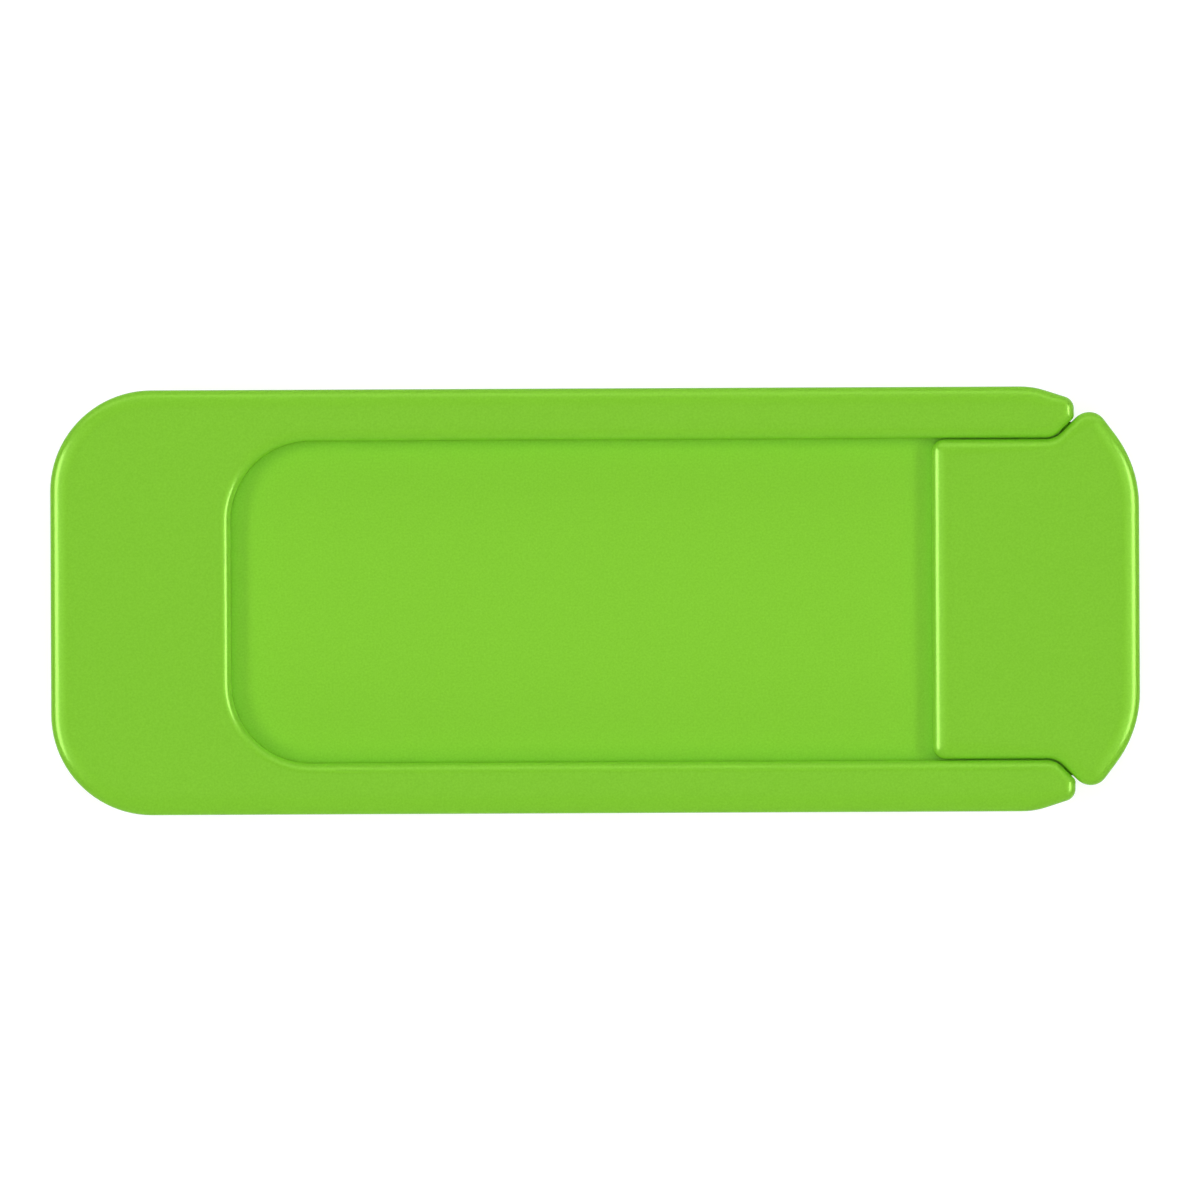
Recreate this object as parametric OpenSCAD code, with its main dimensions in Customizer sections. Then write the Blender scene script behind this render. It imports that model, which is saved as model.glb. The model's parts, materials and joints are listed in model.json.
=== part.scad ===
// Slide-out webcam cover: a moulded U-shaped frame, a slider that runs in grooves
// in the frame's arms, and a die-cut double-sided tape under the frame.
// +X is the way the slider pulls out, and +Z points away from the screen's bezel.
// The origin is under the middle of the closed cover, in the plane of the tape's face.
// All sizes are in millimetres.

/* [Cover] */
// Length of the closed cover, from the frame's closed end to the slider's far edge
cover_l = 41; // [38:0.5:48]
// Width across the two arms of the frame
cover_w = 16; // [15:0.5:19]
// Thickness of the frame, without the tape
frame_t = 2.15; // [2:0.05:2.8]

/* [Frame] */
// Length of the closed end, from its outer edge to the window
end_l = 6.8; // [6:0.1:9]
// Plan radius of the two corners of the closed end
end_r = 3.8; // [2.5:0.1:5]
// Width of each arm
arm_w = 1.94; // [1.7:0.02:2.6]
// Plan radius of the window's two corners
window_r = 3; // [1.5:0.1:4]
// Thickness of the lip above the groove
top_lip_t = 0.75; // [0.6:0.05:1]
// Thickness of the lip below the groove
bottom_lip_t = 0.5; // [0.4:0.05:0.7]
// Depth of the groove, from the lip's edge into the arm
groove_d = 0.95; // [0.9:0.05:1.2]

/* [Arm tips] */
// Distance from the slider's far edge back to the tips of the arms
tip_back = 2.44; // [2.2:0.02:3]
// Length over which the outer side of an arm falls away to its tip
nose_l = 1.55; // [1.2:0.05:2]
// How far the outer side falls away at the tip
nose_drop = 0.5; // [0.3:0.05:0.6]
// Size of the slanting cut on the inner side of a tip
tip_cut = 0.76; // [0.6:0.02:0.9]

/* [Slider] */
// Length of the slider's raised head
head_l = 7.82; // [6.5:0.02:10]
// Length of each ear's slanting side, measured along X
ear_l = 1.36; // [1.3:0.02:1.7]
// Distance from the arms' outer side to the shoulder where the head's far edge turns
shoulder_in = 3; // [2.8:0.1:4]
// How far the slider pulls out
travel = 11.5; // [8:0.5:14]
// Length of plate that stays hidden under the closed end
plate_hidden_l = 1.5; // [0.8:0.1:2.5]

/* [Fits] */
// Gap between the head's sides and the arms
side_gap = 0.04; // [0.03:0.01:0.15]
// Gap between the slanting sides of the ears and the cuts on the arm tips
tip_gap = 0.06; // [0.04:0.01:0.2]
// Gap above and below the plate in its groove
run_gap = 0.05; // [0.03:0.01:0.1]
// Gap beside the catch lugs and the catch stops
catch_gap = 0.1; // [0.05:0.01:0.12]
// How far a catch lug and its stop overlap when they meet
catch_bite = 0.15; // [0.1:0.01:0.2]

/* [Edges] */
// Width of the crowned top edge along the outside
outer_edge_w = 0.75; // [0.5:0.05:0.8]
// Width of the crowned top edge along the window
inner_edge_w = 0.45; // [0.3:0.05:0.6]
// Drop of the crowned top edges
edge_drop = 0.33; // [0.2:0.01:0.4]
// Radius of the edge around the underside
foot_edge_r = 0.15; // [0.1:0.01:0.2]

/* [Tape] */
// Thickness of the double-sided tape
tape_t = 0.25; // [0.15:0.05:0.5]
// Distance from the frame's edges in to the tape's edges
tape_in = 0.25; // [0.2:0.05:0.35]

/* [Hidden] */

plastic_colour = "#83C837";
tape_colour = "#F1F0EA";

// Steps in each plan arc, in a top edge and in an underside edge
large_arc = 12;
small_arc = 6;
edge_arc = 6;
foot_arc = 2;
// Largest share of a straight side that the arc at either end of it takes up
side_share = 0.5;
// Largest share of the widest such arc's radius that a corner's top edge is wide
edge_share = 0.95;
// Plan radius that an outward corner keeps where its top edge is as wide as its plan radius
least_r = 0.1;
// Overrun of every cut past the face that it opens
over = 1;

// Plan radii of the arm tip, from its outer side round to the window
nose_r = 3;
tip_outer_r = 0.5;
tip_inner_r = 0.25;
tip_root_r = 0.8;
// Width of the top edge at a tip's two corners
tip_edge_w = 0.4;
// Plan radii of the slider's ear, its shoulder and the head's near corners
ear_r = 0.68;
shoulder_r = 4.6;
head_corner_r = 0.5;
// Width of the top edge along the head's near edge, and at the ears
head_edge_w = 0.75;
ear_edge_w = 0.6;
// Plan radius of the plate's corners, and the bite of its edges into the ears
plate_corner_r = 0.6;
tongue_bite = 0.25;
// Gap behind the plate in the closed end
pocket_gap = 0.2;
// Height of the head's underside above the frame's
head_lift = 0.05;
// Walls around the two hollows under the head
hollow_wall = 0.9;
hollow_roof = 0.9;
hollow_rib = 0.8;
hollow_r = 0.5;
// Length of a catch lug or stop, the run of its ramp, and the stop's distance from the tip
catch_l = 0.9;
catch_ramp = 0.4;
stop_back = 2;
// Distance from the arm tips back to the ends of the tape
tape_back = 1.6;
tape_corner_r = 0.3;

half_l = cover_l / 2;
half_w = cover_w / 2;
frame_z = tape_t;
top_z = frame_z + frame_t;
groove_z = frame_z + bottom_lip_t;
groove_h = frame_t - bottom_lip_t - top_lip_t;
plate_z = groove_z + run_gap;
plate_t = groove_h - 2 * run_gap;
head_z = frame_z + head_lift;

window_x = end_l - half_l;
window_y = half_w - arm_w;
groove_y = window_y + groove_d;
tip_x = half_l - tip_back;
tongue_y = groove_y - 2 * catch_gap - catch_bite;
plate_x = window_x - plate_hidden_l;
pocket_x = plate_x - pocket_gap;
head_x = half_l - head_l;
head_y = window_y - side_gap;
shoulder_y = half_w - shoulder_in;
// The slanting side of an ear runs beside the cut on the arm's tip, a tip gap away
ear_root_x = tip_x - tip_cut + tip_gap / cos(45) - side_gap;
tongue_end_x = ear_root_x + tongue_y - head_y + tongue_bite;
stop_x = tip_x - stop_back;
stop_y = tongue_y + catch_gap;
lug_x = stop_x - travel - run_gap;
lug_y = groove_y - catch_gap;

// Direction from a to b, the direction to its right, and a direction turned to the left
function unit(a, b) = (b - a) / norm(b - a);
function right(d) = [d.y, -d.x];
function turned(d, angle) =
    [d.x * cos(angle) - d.y * sin(angle), d.x * sin(angle) + d.y * cos(angle)];
function left_turn(u, v) = atan2(u.x * v.y - u.y * v.x, u * v);

// A corner is [point, plan radius, arc steps, width of the top edge].
// A sample of an outline is [point, outward direction, width of the top edge, room, spread].
// Up to its room a sample moves inwards against its direction. Past that an outward corner's
// samples all move against spread, with both of its sides, so that they never cross.
// Samples along the arc that rounds corner b, between corners a and c
function corner_samples(a, b, c) =
    let (
        u = unit(a[0], b[0]),
        v = unit(b[0], c[0]),
        turn = left_turn(u, v),
        side = sign(turn),
        reach = side_share * min(norm(b[0] - a[0]), norm(c[0] - b[0])) / tan(abs(turn) / 2),
        r = min(b[1], reach),
        edge_w = side > 0 ? min(b[3], edge_share * reach) : b[3],
        room = side > 0 ? max(0, r - least_r) : max(edge_w, foot_edge_r),
        spread = turned(right(u), turn / 2) / cos(turn / 2),
        centre = b[0] - u * r * tan(abs(turn) / 2) - side * r * right(u)
    )
    [
        for (i = [0:b[2]])
            let (out = turned(right(u), turn * i / b[2]))
                [centre + side * r * out, out, edge_w, room, spread]
    ];

// A sample's place when the whole outline moves inwards by d there
function moved_in(s, d) = s[0] - s[1] * min(d, s[3]) - s[4] * max(0, d - s[3]);

// Samples all the way round a closed outline, whose corners run anticlockwise
function outline(corners) =
    let (n = len(corners))
        [
            for (i = [0:n - 1])
                each corner_samples(corners[(i + n - 1) % n], corners[i], corners[(i + 1) % n])
        ];

// The same corners mirrored in the X axis and put in reverse order, to complete a symmetric outline
function mirrored(corners) =
    [
        for (i = [len(corners) - 1:-1:0])
            let (c = corners[i])
                [[c[0].x, -c[0].y], c[1], c[2], c[3]]
    ];

// The upper half of the frame's outline: along the outside from the arm's tip to the closed end,
// then along the window from the closed end to the tip
frame_outside = [
    [[tip_x, half_w - nose_drop], tip_outer_r, small_arc, tip_edge_w],
    [[tip_x - nose_l, half_w], nose_r, small_arc, outer_edge_w],
    [[-half_l, half_w], end_r, large_arc, outer_edge_w],
];
frame_window = [
    [[window_x, window_y], window_r, large_arc, inner_edge_w],
    [[tip_x - tip_cut, window_y], tip_root_r, small_arc, inner_edge_w],
    [[tip_x, window_y + tip_cut], tip_inner_r, small_arc, tip_edge_w],
];
frame_corners = concat(frame_outside, mirrored(frame_outside), mirrored(frame_window), frame_window);

// The upper half of the head's outline: shoulder, ear, root of the ear and near corner
head_upper = [
    [[half_l, shoulder_y], shoulder_r, large_arc, outer_edge_w],
    [[ear_root_x + ear_l, head_y + ear_l], ear_r, small_arc, ear_edge_w],
    [[ear_root_x, head_y], tip_root_r + side_gap, small_arc, inner_edge_w],
    [[head_x, head_y], head_corner_r, small_arc, head_edge_w],
];
head_corners = concat(head_upper, mirrored(head_upper));

// A slab with a crowned top edge, whose section is a quarter of an ellipse of each corner's own
// width, and a small round below.
// The caps join sample i to sample n - 1 - i, so the corners in the list's second half
// face those in its first half, in reverse order, with as many arc steps.
module soft_slab(corners, bottom, top) {
    samples = outline(corners);
    n = len(samples);
    foot = [for (i = [0:foot_arc]) 90 * i / foot_arc];
    edge = [for (i = [0:edge_arc]) 90 * i / edge_arc];
    points = concat(
        [
            for (a = foot, s = samples)
                [each moved_in(s, foot_edge_r * (1 - sin(a))), bottom + foot_edge_r * (1 - cos(a))]
        ],
        [
            for (a = edge, s = samples)
                [each moved_in(s, s[2] * (1 - cos(a))), top - edge_drop * (1 - sin(a))]
        ]
    );
    rings = len(foot) + len(edge);
    last = (rings - 1) * n;
    sides = [
        for (r = [0:rings - 2], i = [0:n - 1])
            let (a = r * n + i, b = r * n + (i + 1) % n)
                each [[a, a + n, b + n], [a, b + n, b]]
    ];
    caps = [
        for (i = [0:n / 2 - 2])
            let (j = n - 1 - i)
                each [
                    [i, i + 1, j - 1],
                    [i, j - 1, j],
                    [last + j, last + j - 1, last + i + 1],
                    [last + j, last + i + 1, last + i],
                ]
    ];
    polyhedron(points = points, faces = concat(sides, caps));
}

// A flat sheet of the outline's shape, whose corners all have a top edge width of zero
module flat_sheet(corners, bottom, thickness) {
    translate([0, 0, bottom])
        linear_extrude(height = thickness)
            polygon([for (s = outline(corners)) s[0]]);
}

// A catch's plan: a square face at x, and a ramp on the side that dir points to
module catch_plan(x, root, crest, dir) {
    polygon([
        [x, root],
        [x, crest],
        [x + dir * (catch_l - catch_ramp), crest],
        [x + dir * catch_l, root],
    ]);
}

// The room for the plate: a pocket in the closed end that runs on as a groove in each arm,
// open at the tips, with a stop left standing in each groove
module plate_room() {
    translate([0, 0, groove_z])
        linear_extrude(height = groove_h)
            difference() {
                translate([pocket_x, -groove_y])
                    square([tip_x + over - pocket_x, 2 * groove_y]);
                for (side = [0, 1])
                    mirror([0, side])
                        catch_plan(stop_x, groove_y, stop_y, 1);
            }
}

module frame() {
    color(plastic_colour)
        difference() {
            soft_slab(frame_corners, frame_z, top_z);
            plate_room();
        }
}

// The plate that closes the window, with a lug on each edge that meets a stop at full travel
module plate() {
    near = [[plate_x, tongue_y], plate_corner_r, small_arc, 0];
    far = [[tongue_end_x, tongue_y], plate_corner_r, small_arc, 0];
    flat_sheet(concat([far, near], mirrored([far, near])), plate_z, plate_t);
    for (side = [0, 1])
        mirror([0, side])
            translate([0, 0, plate_z])
                linear_extrude(height = plate_t)
                    catch_plan(lug_x, tongue_y, lug_y, -1);
}

// The two hollows that keep the head's wall even, either side of a middle rib
module head_hollows() {
    low = hollow_rib / 2;
    high = head_y - hollow_wall;
    near = head_x + hollow_wall;
    far = half_l - hollow_wall;
    hollow = [for (p = [[far, high], [near, high], [near, low], [far, low]]) [p, hollow_r, small_arc, 0]];
    for (side = [0, 1])
        mirror([0, side])
            flat_sheet(hollow, head_z - over, top_z - hollow_roof - head_z + over);
}

module slider() {
    color(plastic_colour)
        difference() {
            union() {
                soft_slab(head_corners, head_z, top_z);
                plate();
            }
            head_hollows();
        }
}

module adhesive_tape() {
    end_x = tip_x - tape_back;
    outside = [
        [[end_x, half_w - tape_in], tape_corner_r, small_arc, 0],
        [[tape_in - half_l, half_w - tape_in], end_r - tape_in, large_arc, 0],
    ];
    window = [
        [[window_x - tape_in, window_y + tape_in], window_r + tape_in, large_arc, 0],
        [[end_x, window_y + tape_in], tape_corner_r, small_arc, 0],
    ];
    color(tape_colour)
        flat_sheet(concat(outside, mirrored(outside), mirrored(window), window), 0, tape_t);
}

frame();
slider();
adhesive_tape();
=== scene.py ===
import json
from math import atan2, ceil, cos, radians, tan

import bmesh
import bpy
import numpy as np
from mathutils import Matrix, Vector, geometry


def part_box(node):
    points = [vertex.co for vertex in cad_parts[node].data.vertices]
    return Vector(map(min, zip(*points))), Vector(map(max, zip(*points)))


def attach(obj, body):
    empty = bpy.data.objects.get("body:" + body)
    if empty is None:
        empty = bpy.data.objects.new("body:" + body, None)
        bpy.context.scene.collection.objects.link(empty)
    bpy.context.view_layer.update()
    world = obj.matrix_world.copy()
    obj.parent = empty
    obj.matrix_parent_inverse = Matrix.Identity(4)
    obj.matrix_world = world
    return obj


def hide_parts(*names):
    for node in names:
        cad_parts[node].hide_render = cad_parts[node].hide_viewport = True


# A stick-on webcam cover in moulded lime green plastic, seen from straight above: a U-shaped
# frame, the slider in its grooves, and the die-cut tape under the frame.

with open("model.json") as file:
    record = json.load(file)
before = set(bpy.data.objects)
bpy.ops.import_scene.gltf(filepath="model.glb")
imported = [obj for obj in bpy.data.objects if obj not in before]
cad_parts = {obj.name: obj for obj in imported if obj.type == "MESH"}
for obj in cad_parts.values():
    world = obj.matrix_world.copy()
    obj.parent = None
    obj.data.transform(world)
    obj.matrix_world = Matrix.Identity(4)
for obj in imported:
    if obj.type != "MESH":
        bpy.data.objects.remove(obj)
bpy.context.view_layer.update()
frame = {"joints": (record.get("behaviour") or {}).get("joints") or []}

MM = 0.001

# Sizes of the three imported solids, in millimetres
frame_low, frame_high = (np.array(corner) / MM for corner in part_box("frame"))
slider_low, slider_high = (np.array(corner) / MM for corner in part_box("slider"))
tape_high = np.array(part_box("adhesive_tape")[1]) / MM

half_l = slider_high[0]
half_w = frame_high[1]
tip_x = frame_high[0]
top_z = frame_high[2]
frame_z = frame_low[2]
head_z = slider_low[2]
plate_x = slider_low[0]
tape_end_x = tape_high[0]
tape_t = tape_high[2]
tape_in = half_w - tape_high[1]

# Sizes that the boxes don't give, in millimetres: the frame's
END_L = 6.8
END_R = 3.8
ARM_W = 1.94
WINDOW_R = 3
TOP_LIP_T = 0.75
BOTTOM_LIP_T = 0.5
GROOVE_D = 0.95
NOSE_L = 1.55
NOSE_DROP = 0.5
NOSE_R = 3
TIP_CUT = 0.76
TIP_OUTER_R = 0.5
TIP_INNER_R = 0.25
TIP_ROOT_R = 0.8
TIP_EDGE_W = 0.4
OUTER_EDGE_W = 0.75
INNER_EDGE_W = 0.45
EDGE_DROP = 0.33
FOOT_EDGE_R = 0.15
STOP_BACK = 2

# The slider's
HEAD_L = 7.82
HEAD_CORNER_R = 0.5
HEAD_EDGE_W = 0.75
EAR_L = 1.36
EAR_R = 0.68
EAR_EDGE_W = 0.6
SHOULDER_IN = 3
SHOULDER_R = 4.6
PLATE_CORNER_R = 0.6
HOLLOW_WALL = 0.9
HOLLOW_ROOF = 0.9
HOLLOW_RIB = 0.8
HOLLOW_R = 0.5
CATCH_L = 0.9
CATCH_RAMP = 0.4
CATCH_BITE = 0.15
TRAVEL = frame["joints"][0]["range_m"][1] / MM

# The clearances
SIDE_GAP = 0.04
TIP_GAP = 0.06
RUN_GAP = 0.05
CATCH_GAP = 0.1
POCKET_GAP = 0.2

# The tape's
TAPE_CORNER_R = 0.3
TAPE_LAYER = 0.04
TAPE_DIP = 0.03

# Small rounds that only the eye needs: on the plate's rim, the catches and inside the hollows
RIM_R = 0.12
CATCH_R = 0.06
HOLLOW_ROOF_R = 0.25

window_x = frame_low[0] + END_L
window_y = half_w - ARM_W
groove_z = frame_z + BOTTOM_LIP_T
groove_top = top_z - TOP_LIP_T
groove_y = window_y + GROOVE_D
plate_low = groove_z + RUN_GAP
plate_top = groove_top - RUN_GAP
tongue_y = groove_y - 2 * CATCH_GAP - CATCH_BITE
pocket_x = plate_x - POCKET_GAP
head_x = half_l - HEAD_L
head_y = window_y - SIDE_GAP
ear_root_x = tip_x - TIP_CUT + TIP_GAP / cos(radians(45)) - SIDE_GAP
stop_x = tip_x - STOP_BACK
stop_y = tongue_y + CATCH_GAP
lug_x = stop_x - TRAVEL - RUN_GAP
lug_y = groove_y - CATCH_GAP

# How finely the surfaces are divided: the turn from sample to sample round an arc, the longest and
# the shortest step along a side, and the steps up a foot's round, a top edge and the tape's core
ARC_STEP = radians(4)
LONGEST = 0.8
SHORTEST = 0.2
FOOT_STEPS = 6
EDGE_STEPS = 20
CORE_STEPS = 8
# Width of the strip beside each round that holds the flat next to it flat
HOLD = 0.03
# The largest arc that a corner takes uses this share of its shorter side. A corner's edge is at most
# EDGE_SHARE of that arc wide, and leaves a round of LEAST_R, or less in a small corner.
SIDE_SHARE = 0.5
EDGE_SHARE = 0.95
LEAST_R = 0.1
# Points this close count as one, in millimetres while a flat is filled and in metres in the mesh,
# where an edge of NO_LENGTH_M counts as none
SAME_MM = 1e-7
SAME_M = 2e-8
NO_LENGTH_M = 1e-9
SHARP_ANGLE = radians(35)


# Outlines


# The columns of an outline's rows, after x and y
OUT, EDGE, ROOM, SPREAD, SHARE = slice(2, 4), 4, 5, slice(6, 8), 8


def turned(direction, angles):
    """The plane direction turned to the left by each angle, one row for each."""
    x, y = direction
    c, s = np.cos(angles), np.sin(angles)
    return np.column_stack([x * c - y * s, x * s + y * c])


def outline(corners):
    """Closed outline in millimetres, anticlockwise. Each corner (x, y, plan radius, edge width)
    becomes the arc of that radius that touches its two sides, swept from the first side's normal to
    the second's. Each row holds x, y, the outward direction OUT, the edge width EDGE, ROOM, SPREAD
    and SHARE, which is zero here. ROOM is how far a sample moves in along its own direction, before
    a corner's samples all move along SPREAD, the line that keeps a point on both of the corner's
    sides as they move in together."""
    arcs = []
    for i, (x, y, radius, edge) in enumerate(corners):
        here = np.array([x, y])
        ahead = np.array(corners[(i + 1) % len(corners)][:2]) - here
        behind = here - np.array(corners[i - 1][:2])
        u, v = behind / np.hypot(*behind), ahead / np.hypot(*ahead)
        turn = atan2(u[0] * v[1] - u[1] * v[0], u @ v)
        side = np.sign(turn)
        reach = SIDE_SHARE * min(np.hypot(*behind), np.hypot(*ahead)) / tan(abs(turn) / 2)
        radius = min(radius, reach)
        room = half_w
        if side > 0:
            edge = min(edge, EDGE_SHARE * reach - HOLD)
            room = max(0, radius - min(LEAST_R, (1 - EDGE_SHARE) * reach))
        right = np.array([u[1], -u[0]])
        centre = here - u * radius * tan(abs(turn) / 2) - side * radius * right
        out = turned(right, np.linspace(0, turn, ceil(abs(turn) / ARC_STEP) + 1))
        spread = turned(right, turn / 2)[0] / cos(turn / 2)
        same = np.tile([edge, room, *spread, 0], (len(out), 1))
        arcs.append(np.column_stack([centre + side * radius * out, out, same]))
    return fine(np.vstack(arcs))


def fine(loop):
    """The same closed loop with each side that is longer than LONGEST divided evenly."""
    closed = np.vstack([loop, loop[:1]])
    lengths = np.hypot(*np.diff(closed[:, :2], axis=0).T)
    parts = np.maximum(1, np.ceil(lengths / LONGEST)).astype(int)
    at = np.concatenate([i + np.arange(n) / n for i, n in enumerate(parts)])
    return np.column_stack([np.interp(at, np.arange(len(closed)), column) for column in closed.T])


def mirrored(corners):
    """The corners mirrored in the X axis, in reverse order."""
    return [(x, -y, *rest) for x, y, *rest in corners[::-1]]


def cut_in_two(loop, y, x_min):
    """Cuts a closed loop where it first crosses the lines y and -y, beyond x_min. Gives the part
    from the upper crossing round to the lower one, and the part from the lower one back to the
    upper. The row added at a crossing has as its SHARE how far it lies from the row before it to the
    row after it."""
    at = []
    for level in (y, -y):
        after = np.roll(loop, -1, axis=0)
        across = (loop[:, 1] - level) * (after[:, 1] - level) < 0
        found = np.flatnonzero(across & (loop[:, 0] > x_min))
        i = found[np.argmin(loop[found, 0])]
        t = (level - loop[i, 1]) / (after[i, 1] - loop[i, 1])
        row = loop[i] * (1 - t) + after[i] * t
        row[1], row[SHARE] = level, t
        loop = np.insert(loop, i + 1, row, axis=0)
        at.append(row)
    start = np.flatnonzero(np.all(loop == at[0], axis=1))[0]
    loop = np.roll(loop, -start, axis=0)
    end = np.flatnonzero(np.all(loop == at[1], axis=1))[0]
    return loop[:end + 1], np.vstack([loop[end:], loop[:1]])


def ring(loop, inset, z):
    """The loop's points at height z, moved in by inset: against OUT up to their ROOM, and against
    SPREAD past it. A row with a SHARE moves as that mix of the rows before and after it."""
    room, share = loop[:, [ROOM]], loop[:, [SHARE]]
    inset = np.reshape(inset, (-1, 1))
    move = np.minimum(inset, room) * loop[:, OUT] + np.maximum(0, inset - room) * loop[:, SPREAD]
    mix = (1 - share) * np.roll(move, 1, axis=0) + share * np.roll(move, -1, axis=0)
    move = np.where(share > 0, mix, move)
    return np.column_stack([loop[:, :2] - move, np.broadcast_to(z, len(loop))])


def foot_rings(loop, bottom, top):
    """A quarter round of FOOT_EDGE_R under the loop, with a flat strip inside it, and the wall up."""
    r = FOOT_EDGE_R
    a = np.linspace(0, np.pi / 2, FOOT_STEPS + 1)
    rounded = [ring(loop, r * (1 - np.sin(t)), bottom + r * (1 - np.cos(t))) for t in a]
    return [ring(loop, r + HOLD, bottom), *rounded, ring(loop, 0, bottom + r + HOLD),
            ring(loop, 0, top)]


def edge_rings(loop, bottom, top, drop):
    """The wall up from bottom, and a quarter of an ellipse, as wide as each sample's EDGE and drop
    high, with a flat strip inside it."""
    a = np.linspace(0, np.pi / 2, EDGE_STEPS + 1)
    w = loop[:, EDGE]
    crown = [ring(loop, w * (1 - np.cos(t)), top - drop * (1 - np.sin(t))) for t in a]
    return [ring(loop, 0, bottom), ring(loop, 0, top - drop - HOLD), *crown,
            ring(loop, w + HOLD, top)]


class Skin:
    """One closed surface, gathered from patches that share the points along their borders."""

    def __init__(self):
        self.points = []
        self.faces = []
        self.count = 0

    def add(self, points, faces):
        """Takes in one patch, whose faces count its own points from 0."""
        self.faces += (np.asarray(faces) + self.count).tolist()
        self.points.append(points)
        self.count += len(points)

    def grid(self, rings, closed=True):
        """Four-sided faces between each ring and the next."""
        rings = np.array(rings)
        at = np.arange(rings.shape[0] * rings.shape[1]).reshape(rings.shape[:2])
        if closed:
            at = np.column_stack([at, at[:, :1]])
        quads = np.stack([at[:-1, :-1], at[:-1, 1:], at[1:, 1:], at[1:, :-1]], axis=-1)
        self.add(rings.reshape(-1, 3), quads.reshape(-1, 4))

    def fill(self, rings):
        """Triangles over the flat region inside the first ring and outside the others."""
        flat = np.vstack(rings)
        borders = []
        for one in rings:
            x, y = one[:, 0], one[:, 1]
            at = sum(map(len, borders)) + np.arange(len(one))
            clockwise = np.sum(x * np.roll(y, -1) - np.roll(x, -1) * y) < 0
            borders.append((at[::-1] if clockwise else at).tolist())
        plan = [Vector(point[:2]) for point in flat]
        inside_with_holes = 2
        made = geometry.delaunay_2d_cdt(plan, [], borders, inside_with_holes, SAME_MM)
        self.add(np.array([[*point, flat[0, 2]] for point in made[0]]), np.array(made[2]))

    def finish(self, name, material, body, node):
        """Merges the patches' borders, turns the faces outwards and makes the node's visible piece."""
        mesh = bpy.data.meshes.new(name)
        mesh.from_pydata((np.vstack(self.points) * MM).tolist(), [], self.faces)
        shell = bmesh.new()
        shell.from_mesh(mesh)
        bmesh.ops.remove_doubles(shell, verts=shell.verts, dist=SAME_M)
        bmesh.ops.dissolve_degenerate(shell, edges=shell.edges, dist=NO_LENGTH_M)
        bmesh.ops.recalc_face_normals(shell, faces=shell.faces)
        open_edges = sum(len(edge.link_faces) != 2 for edge in shell.edges)
        print(name, len(shell.faces), "faces,", open_edges, "open edges, volume mm3",
              round(shell.calc_volume() / MM ** 3, 2))
        shell.to_mesh(mesh)
        shell.free()
        mesh.shade_smooth()
        mesh.set_sharp_from_angle(angle=SHARP_ANGLE)
        mesh.materials.append(material)
        piece = bpy.data.objects.new(name, mesh)
        bpy.context.scene.collection.objects.link(piece)
        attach(piece, body)
        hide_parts(node)


# Materials


def linear(code):
    """An sRGB hex colour as linear red, green, blue and alpha."""
    srgb = np.array([int(code[i:i + 2], 16) for i in (1, 3, 5)]) / 255
    low, high = srgb / 12.92, ((srgb + 0.055) / 1.055) ** 2.4
    return (*np.where(srgb <= 0.04045, low, high), 1)


def add_node(tree, kind, links=(), **settings):
    """Adds a node. Each setting goes to the input of that name, or else to the property, and each
    link joins an input, by name or number, to another node's output."""
    node = tree.nodes.new(kind)
    for name, value in settings.items():
        socket = name.replace("_", " ")
        if socket in node.inputs:
            node.inputs[socket].default_value = value
        else:
            setattr(node, name, value)
    for name, output in links:
        tree.links.new(node.inputs[name], output)
    return node


def new_material(name):
    """An empty node material and its tree."""
    material = bpy.data.materials.new(name)
    material.use_nodes = True
    material.node_tree.nodes.clear()
    return material, material.node_tree


def moulded_abs():
    """Injection-moulded ABS, pigmented lime green: a satin gloss, with the fine even grain that the
    mould leaves, so flats look plain and the rounded edges catch soft streaks of light. The gloss
    keeps a trace of the green, and the tone is drawn paler below the top, so the recessed plate comes
    out a little paler than the raised flats."""
    material, tree = new_material("moulded_abs_lime")
    place = add_node(tree, "ShaderNodeTexCoord").outputs["Object"]
    # The grain is drawn as coarse as it needs to show. The gloss varies slowly, where the melt flowed.
    grain_mm = 0.07
    grain_depth_mm = 0.01
    flow_mm = 9
    grain = add_node(tree, "ShaderNodeTexNoise", [("Vector", place)], Scale=1 / (grain_mm * MM),
                     Detail=1).outputs["Fac"]
    flow = add_node(tree, "ShaderNodeTexNoise", [("Vector", place)], Scale=1 / (flow_mm * MM),
                    Detail=2).outputs["Fac"]
    # Inputs 6 and 7 are the two colours that the node mixes
    tone = add_node(tree, "ShaderNodeMix", [("Factor", grain)], data_type="RGBA")
    tone.inputs[6].default_value = linear("#72BD1D")
    tone.inputs[7].default_value = linear("#87D031")
    height = add_node(tree, "ShaderNodeSeparateXYZ", [("Vector", place)]).outputs["Z"]
    # Between these two depths under the top, the tone's value goes from 1 to pale_value
    plain_mm = 0.4
    pale_mm = 0.7
    pale_value = 1.08
    pale = add_node(tree, "ShaderNodeMapRange", [("Value", height)], From_Min=(top_z - pale_mm) * MM,
                    From_Max=(top_z - plain_mm) * MM, To_Min=pale_value, To_Max=1)
    toned = add_node(tree, "ShaderNodeHueSaturation",
                     [("Color", tone.outputs[2]), ("Value", pale.outputs[0])])
    gloss = add_node(tree, "ShaderNodeMapRange", [("Value", flow)], To_Min=0.2, To_Max=0.24)
    bump = add_node(tree, "ShaderNodeBump", [("Height", grain)], Strength=0.1,
                    Distance=grain_depth_mm * MM)
    shader = add_node(tree, "ShaderNodeBsdfPrincipled",
                      [("Base Color", toned.outputs[0]), ("Roughness", gloss.outputs[0]),
                       ("Normal", bump.outputs["Normal"])],
                      IOR=1.54, Specular_Tint=linear("#D4FF93"))
    add_node(tree, "ShaderNodeOutputMaterial", [("Surface", shader.outputs[0])])
    return material


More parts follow.
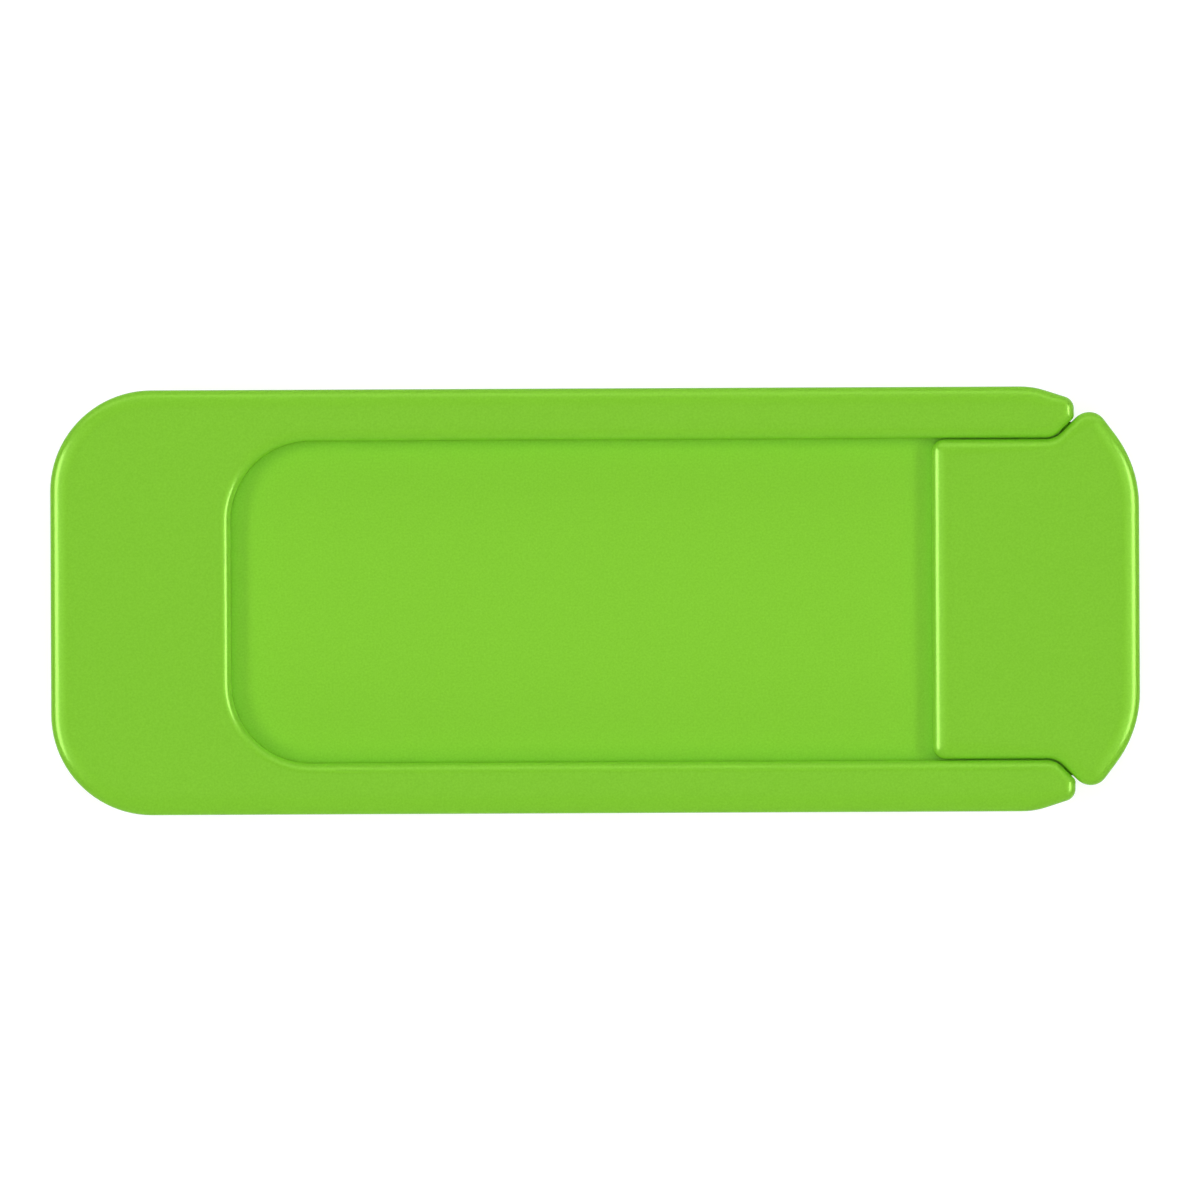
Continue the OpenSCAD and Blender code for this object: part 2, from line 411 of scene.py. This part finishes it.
def foam_tape():
    """Die-cut double-sided foam tape: a matt white foam with fine cells, and a thin, glossier layer of
    clear adhesive on the face that sticks."""
    material, tree = new_material("foam_tape_white")
    place = add_node(tree, "ShaderNodeTexCoord").outputs["Object"]
    cell_mm = 0.12
    cell_depth_mm = 0.02
    cells = add_node(tree, "ShaderNodeTexVoronoi", [("Vector", place)],
                     Scale=1 / (cell_mm * MM)).outputs["Distance"]
    height = add_node(tree, "ShaderNodeSeparateXYZ", [("Vector", place)]).outputs["Z"]
    gloss = add_node(tree, "ShaderNodeMapRange", [("Value", height)], From_Min=TAPE_LAYER / 2 * MM,
                     From_Max=TAPE_LAYER * 1.5 * MM, To_Min=0.28, To_Max=0.75)
    tone = add_node(tree, "ShaderNodeMix", [("Factor", cells)], data_type="RGBA")
    tone.inputs[6].default_value = linear("#F4F3EE")
    tone.inputs[7].default_value = linear("#E6E4DC")
    bump = add_node(tree, "ShaderNodeBump", [("Height", cells)], Strength=0.3,
                    Distance=cell_depth_mm * MM)
    shader = add_node(tree, "ShaderNodeBsdfPrincipled",
                      [("Base Color", tone.outputs[2]), ("Roughness", gloss.outputs[0]),
                       ("Normal", bump.outputs["Normal"])], IOR=1.47)
    add_node(tree, "ShaderNodeOutputMaterial", [("Surface", shader.outputs[0])])
    return material


# Pieces


def catch(x, root, crest, way):
    """A catch's corners, from its square face at x to its ramp's foot on the side way points to."""
    end, ramp_top = x + way * CATCH_L, x + way * (CATCH_L - CATCH_RAMP)
    return [(x, root), (x, crest), (ramp_top, crest), (end, root)]


def add_walls(skin, sides, closed_side, bottom, gap):
    """Adds the walls round the whole outline, with a rounded foot at bottom and a crowned top edge,
    and the flat top. Between the two heights of the gap only closed_side has a wall. Gives the
    lowest ring, which is still open."""
    whole = np.vstack([side[:-1] for side in sides])
    low = foot_rings(whole, bottom, gap[0])
    high = edge_rings(whole, gap[1], top_z, EDGE_DROP)
    skin.grid(low)
    skin.grid(high)
    skin.grid([ring(closed_side, 0, z) for z in gap], closed=False)
    skin.fill([high[-1]])
    return low[0]


def add_groove(skin, mouth, open_side):
    """Adds the groove's floor and ceiling, from the outline's open side out to the groove's own
    outline with its stops and the pocket's end, and the wall between them. It starts at the mouth,
    where the upper groove opens at the arm's tip."""
    upper = [tuple(mouth), *catch(stop_x, groove_y, stop_y, 1)[::-1], (pocket_x, groove_y)]
    pocket = np.array(upper + mirrored(upper))
    levels = [np.column_stack([pocket, np.full(len(pocket), z)]) for z in (groove_z, groove_top)]
    for level in levels:
        skin.fill([np.vstack([ring(open_side, 0, level[0, 2]), level[1:-1]])])
    skin.grid(levels, closed=False)


def make_frame(material):
    """The frame: walls round the whole U outline, open to the groove along the window and the tips'
    inner corners, the groove, and flat faces above and below."""
    outside = [
        (tip_x, half_w - NOSE_DROP, TIP_OUTER_R, TIP_EDGE_W),
        (tip_x - NOSE_L, half_w, NOSE_R, OUTER_EDGE_W),
        (-half_l, half_w, END_R, OUTER_EDGE_W),
    ]
    window = [
        (window_x, window_y, WINDOW_R, INNER_EDGE_W),
        (tip_x - TIP_CUT, window_y, TIP_ROOT_R, INNER_EDGE_W),
        (tip_x, window_y + TIP_CUT, TIP_INNER_R, TIP_EDGE_W),
    ]
    loop = outline(outside + mirrored(outside) + mirrored(window) + window)
    closed_side, open_side = cut_in_two(loop, groove_y, tip_x - TIP_CUT)
    skin = Skin()
    foot = add_walls(skin, (closed_side, open_side), closed_side, frame_z, (groove_z, groove_top))
    skin.fill([foot])
    add_groove(skin, closed_side[0, :2], open_side)
    skin.finish("frame_moulding", material, "frame", "frame")


def add_plate(skin, open_side):
    """Adds the plate: its rim with the catch lugs, rounded all along but faded to a square edge
    where it meets the head, and its two faces, from the head's open side out to the rim."""
    lug = [(x, y, CATCH_R, RIM_R) for x, y in catch(lug_x, tongue_y, lug_y, -1)]
    near = [*lug, (plate_x, tongue_y, PLATE_CORNER_R, RIM_R)]
    far = [(half_l, tongue_y, CATCH_R, RIM_R)]
    rim_loop = outline(far + near + mirrored(near) + mirrored(far))
    meet_x, meet_y = open_side[0, :2]
    kept = rim_loop[rim_loop[:, 0] < meet_x - SHORTEST]
    first = np.flatnonzero((kept[:, 1] > 0) & (np.roll(kept[:, 1], 1) < 0))[0]
    kept = np.roll(kept, -first, axis=0)
    start, end = ([[meet_x, y, 0, np.sign(y), 0, half_w, 0, 0, 0]] for y in (meet_y, -meet_y))
    rim = np.vstack([start, kept, end])
    # The round starts at nothing and reaches its radius in fade_lengths times that radius
    fade_lengths = 4
    r = np.minimum(rim[:, EDGE], (meet_x - rim[:, 0]) / fade_lengths)
    a = np.linspace(0, np.pi / 2, FOOT_STEPS + 1)
    under = [ring(rim, r * (1 - np.sin(t)), plate_low + r * (1 - np.cos(t))) for t in a]
    over = [ring(rim, r * (1 - np.cos(t)), plate_top - r * (1 - np.sin(t))) for t in a]
    skin.grid(under + over, closed=False)
    for z, edge in ((plate_low, under[0]), (plate_top, over[-1])):
        skin.fill([np.vstack([ring(open_side, 0, z), edge[-2:0:-1]])])


def add_hollows(skin, foot):
    """Adds the two hollows in the head's underside, each a straight wall up to a rounded roof, and
    the flat round their mouths, out to the foot's ring."""
    right, left = half_l - HOLLOW_WALL, head_x + HOLLOW_WALL
    outer, inner = head_y - HOLLOW_WALL, HOLLOW_RIB / 2
    corners = [(right, outer), (left, outer), (left, inner), (right, inner)]
    hollow = [(x, y, HOLLOW_R, HOLLOW_ROOF_R) for x, y in corners]
    mouths = []
    for side in (hollow, mirrored(hollow)):
        rings = edge_rings(outline(side), head_z, top_z - HOLLOW_ROOF, HOLLOW_ROOF_R)
        skin.grid(rings)
        skin.fill([rings[-1]])
        mouths.append(rings[0])
    skin.fill([foot, *mouths])


def make_slider(material):
    """The slider: walls round the head, open to the plate where the head stands on it, its flat top,
    the plate, and the head's underside with its hollows."""
    upper = [
        (half_l, half_w - SHOULDER_IN, SHOULDER_R, OUTER_EDGE_W),
        (ear_root_x + EAR_L, head_y + EAR_L, EAR_R, EAR_EDGE_W),
        (ear_root_x, head_y, TIP_ROOT_R + SIDE_GAP, INNER_EDGE_W),
        (head_x, head_y, HEAD_CORNER_R, HEAD_EDGE_W),
    ]
    open_side, closed_side = cut_in_two(outline(upper + mirrored(upper)), tongue_y, ear_root_x)
    skin = Skin()
    foot = add_walls(skin, (open_side, closed_side), closed_side, head_z, (plate_low, plate_top))
    add_plate(skin, open_side)
    add_hollows(skin, foot)
    skin.finish("slider_moulding", material, "slider", "slider")


def make_tape(material):
    """The tape: one U-shaped cut whose foam core stands in from the two straight-edged adhesive
    layers by half a sine wave."""
    outside = [
        (tape_end_x, half_w - tape_in, TAPE_CORNER_R, 0),
        (tape_in - half_l, half_w - tape_in, END_R - tape_in, 0),
    ]
    window = [
        (window_x - tape_in, window_y + tape_in, WINDOW_R + tape_in, 0),
        (tape_end_x, window_y + tape_in, TAPE_CORNER_R, 0),
    ]
    loop = outline(outside + mirrored(outside) + mirrored(window) + window)
    core = np.linspace(0, np.pi, CORE_STEPS + 1)
    depths = np.concatenate([[0, 0], TAPE_DIP * np.sin(core), [0, 0]])
    straight_share = 0.8
    straight = straight_share * TAPE_LAYER
    middle = TAPE_LAYER + (tape_t - 2 * TAPE_LAYER) * core / np.pi
    heights = np.concatenate([[0, straight], middle, [tape_t - straight, tape_t]])
    rings = [ring(loop, depth, z) for depth, z in zip(depths, heights)]
    skin = Skin()
    skin.grid(rings)
    skin.fill([rings[0]])
    skin.fill([rings[-1]])
    skin.finish("tape_cut", material, "frame", "adhesive_tape")


# Floor, light and camera


def background(tree, lit, shown):
    """Gives the camera and reflections the shader shown, and all other rays the shader lit."""
    path = add_node(tree, "ShaderNodeLightPath")
    seen = path.outputs["Is Camera Ray"]
    for other in ("Is Glossy Ray", "Is Transmission Ray"):
        links = [(0, seen), (1, path.outputs[other])]
        seen = add_node(tree, "ShaderNodeMath", links, operation="MAXIMUM").outputs[0]
    return add_node(tree, "ShaderNodeMixShader",
                    [(0, seen), (1, lit.outputs[0]), (2, shown.outputs[0])])


def make_floor():
    """A plain white floor just under the tape. The camera sees it nearly white, with the cover's
    shadow. It is clear from below, and to light that passes it within a short way of the cover, so
    that the underside is lit when it is looked at from below."""
    half_side_m = 6
    drop_mm = 0.02
    clear_mm = 3
    material, tree = new_material("floor_white")
    # The camera sees half of the floor's light over an even glow: nearly white, with a soft shadow
    plain = add_node(tree, "ShaderNodeBsdfDiffuse", Color=(0.8, 0.8, 0.8, 1))
    shadowed = add_node(tree, "ShaderNodeBsdfDiffuse", Color=(0.4, 0.4, 0.4, 1))
    glow = add_node(tree, "ShaderNodeEmission", Strength=0.75)
    both = add_node(tree, "ShaderNodeAddShader", [(0, shadowed.outputs[0]), (1, glow.outputs[0])])
    solid = background(tree, plain, both)
    back = add_node(tree, "ShaderNodeNewGeometry").outputs["Backfacing"]
    length = add_node(tree, "ShaderNodeLightPath").outputs["Ray Length"]
    near = add_node(tree, "ShaderNodeMath", [(0, length)], operation="LESS_THAN")
    near.inputs[1].default_value = clear_mm * MM
    passes = add_node(tree, "ShaderNodeMath", [(0, back), (1, near.outputs[0])],
                      operation="MAXIMUM")
    clear = add_node(tree, "ShaderNodeBsdfTransparent")
    sided = add_node(tree, "ShaderNodeMixShader",
                     [(0, passes.outputs[0]), (1, solid.outputs[0]), (2, clear.outputs[0])])
    add_node(tree, "ShaderNodeOutputMaterial", [("Surface", sided.outputs[0])])

    mesh = bpy.data.meshes.new("floor")
    corners = np.array([(-1, -1, 0), (1, -1, 0), (1, 1, 0), (-1, 1, 0)]) * half_side_m
    mesh.from_pydata((corners - [0, 0, drop_mm * MM]).tolist(), [], [(0, 1, 2, 3)])
    mesh.materials.append(material)
    floor = bpy.data.objects.new("floor", mesh)
    bpy.context.scene.collection.objects.link(floor)


def make_world(fill, below):
    """Even soft light, at the level fill from above the horizon and below from under it, as much as
    a white floor throws back, and a white background."""
    haze = 0.05
    world = bpy.data.worlds.new("studio")
    world.use_nodes = True
    tree = world.node_tree
    tree.nodes.clear()
    way = add_node(tree, "ShaderNodeTexCoord").outputs["Generated"]
    rise = add_node(tree, "ShaderNodeSeparateXYZ", [("Vector", way)]).outputs["Z"]
    level = add_node(tree, "ShaderNodeMapRange", [("Value", rise)], From_Min=-haze, From_Max=haze,
                     To_Min=below, To_Max=fill)
    white = (1, 1, 1, 1)
    light = add_node(tree, "ShaderNodeBackground", [("Strength", level.outputs[0])], Color=white)
    plain = add_node(tree, "ShaderNodeBackground", Color=white, Strength=1)
    mix = background(tree, light, plain)
    add_node(tree, "ShaderNodeOutputWorld", [("Surface", mix.outputs[0])])
    bpy.context.scene.world = world


def softbox(name, azimuth, elevation, distance, size, radiance, lights=True, shows=True):
    """A rectangular lamp of even radiance that faces the cover, from that azimuth (0 is +X, 90 is
    +Y), in degrees and metres. A card only shows in reflections and doesn't light the surfaces, and
    a polarised lamp lights them and doesn't show."""
    lamp = bpy.data.lights.new(name, "AREA")
    lamp.shape = "RECTANGLE"
    lamp.size, lamp.size_y = size
    lamp.energy = radiance * np.pi * size[0] * size[1]
    a, e = radians(azimuth), radians(elevation)
    where = Vector((np.cos(a) * np.cos(e), np.sin(a) * np.cos(e), np.sin(e))) * distance
    box = bpy.data.objects.new(name, lamp)
    box.location = where
    box.rotation_mode = "QUATERNION"
    box.rotation_quaternion = (-where).to_track_quat("-Z", "Y")
    box.visible_diffuse = lights
    box.visible_glossy = shows
    bpy.context.scene.collection.objects.link(box)


def make_lamps():
    """Softboxes at both ends light the flats. A taller card behind each, a wide glow above it and a
    long card at the far side only show in the gloss, as streaks on the rounded edges. The polarised
    lamps along the sides and overhead are weaker: the high ones leave a soft shade at the recess's
    foot, and the low ones keep the outer walls light."""
    for name, azimuth in (("left", 180), ("right", 0)):
        softbox(name + "_softbox", azimuth, elevation=41, distance=0.9, size=(0.62, 0.2), radiance=6.3)
        softbox(name + "_card", azimuth, elevation=41, distance=1, size=(0.69, 0.34), radiance=9,
                lights=False)
        softbox(name + "_glow", azimuth, elevation=62, distance=1.1, size=(0.8, 0.4), radiance=1.6,
                lights=False)
    softbox("far_softbox", 90, elevation=58, distance=0.9, size=(0.6, 0.2), radiance=2.9, shows=False)
    softbox("far_card", 90, elevation=40, distance=1, size=(1.7, 0.32), radiance=2.4, lights=False)
    softbox("near_softbox", 270, elevation=50, distance=0.9, size=(0.9, 0.25), radiance=1.6,
            shows=False)
    softbox("top_softbox", 90, elevation=90, distance=1.2, size=(0.3, 0.3), radiance=4.5, shows=False)
    for name, azimuth in (("far", 90), ("near", 270)):
        softbox(name + "_low_softbox", azimuth, elevation=14, distance=0.9, size=(1.2, 0.2),
                radiance=2, shows=False)


def make_camera():
    """Straight above the cover, far off through a long lens, as the photograph was taken."""
    photo_px = 1200
    px_per_mm = 26.57
    centre_px = (595.1, 600.78)
    roll_degrees = 0.262
    distance = 0.8
    nearest, farthest = 0.01, 20
    camera = bpy.data.cameras.new("camera")
    camera.lens = camera.sensor_width * distance / (photo_px / px_per_mm * MM)
    camera.clip_start, camera.clip_end = nearest, farthest
    eye = bpy.data.objects.new("camera", camera)
    across = (photo_px / 2 - centre_px[0]) / px_per_mm * MM
    up = (centre_px[1] - photo_px / 2) / px_per_mm * MM
    eye.location = (across, up, top_z * MM + distance)
    eye.rotation_euler = (0, 0, -radians(roll_degrees))
    bpy.context.scene.collection.objects.link(eye)
    bpy.context.scene.camera = eye


plastic = moulded_abs()
make_frame(plastic)
make_slider(plastic)
make_tape(foam_tape())
make_floor()
make_world(fill=0.2, below=0.8)
make_lamps()
make_camera()
bpy.context.scene.view_settings.view_transform = "Standard"
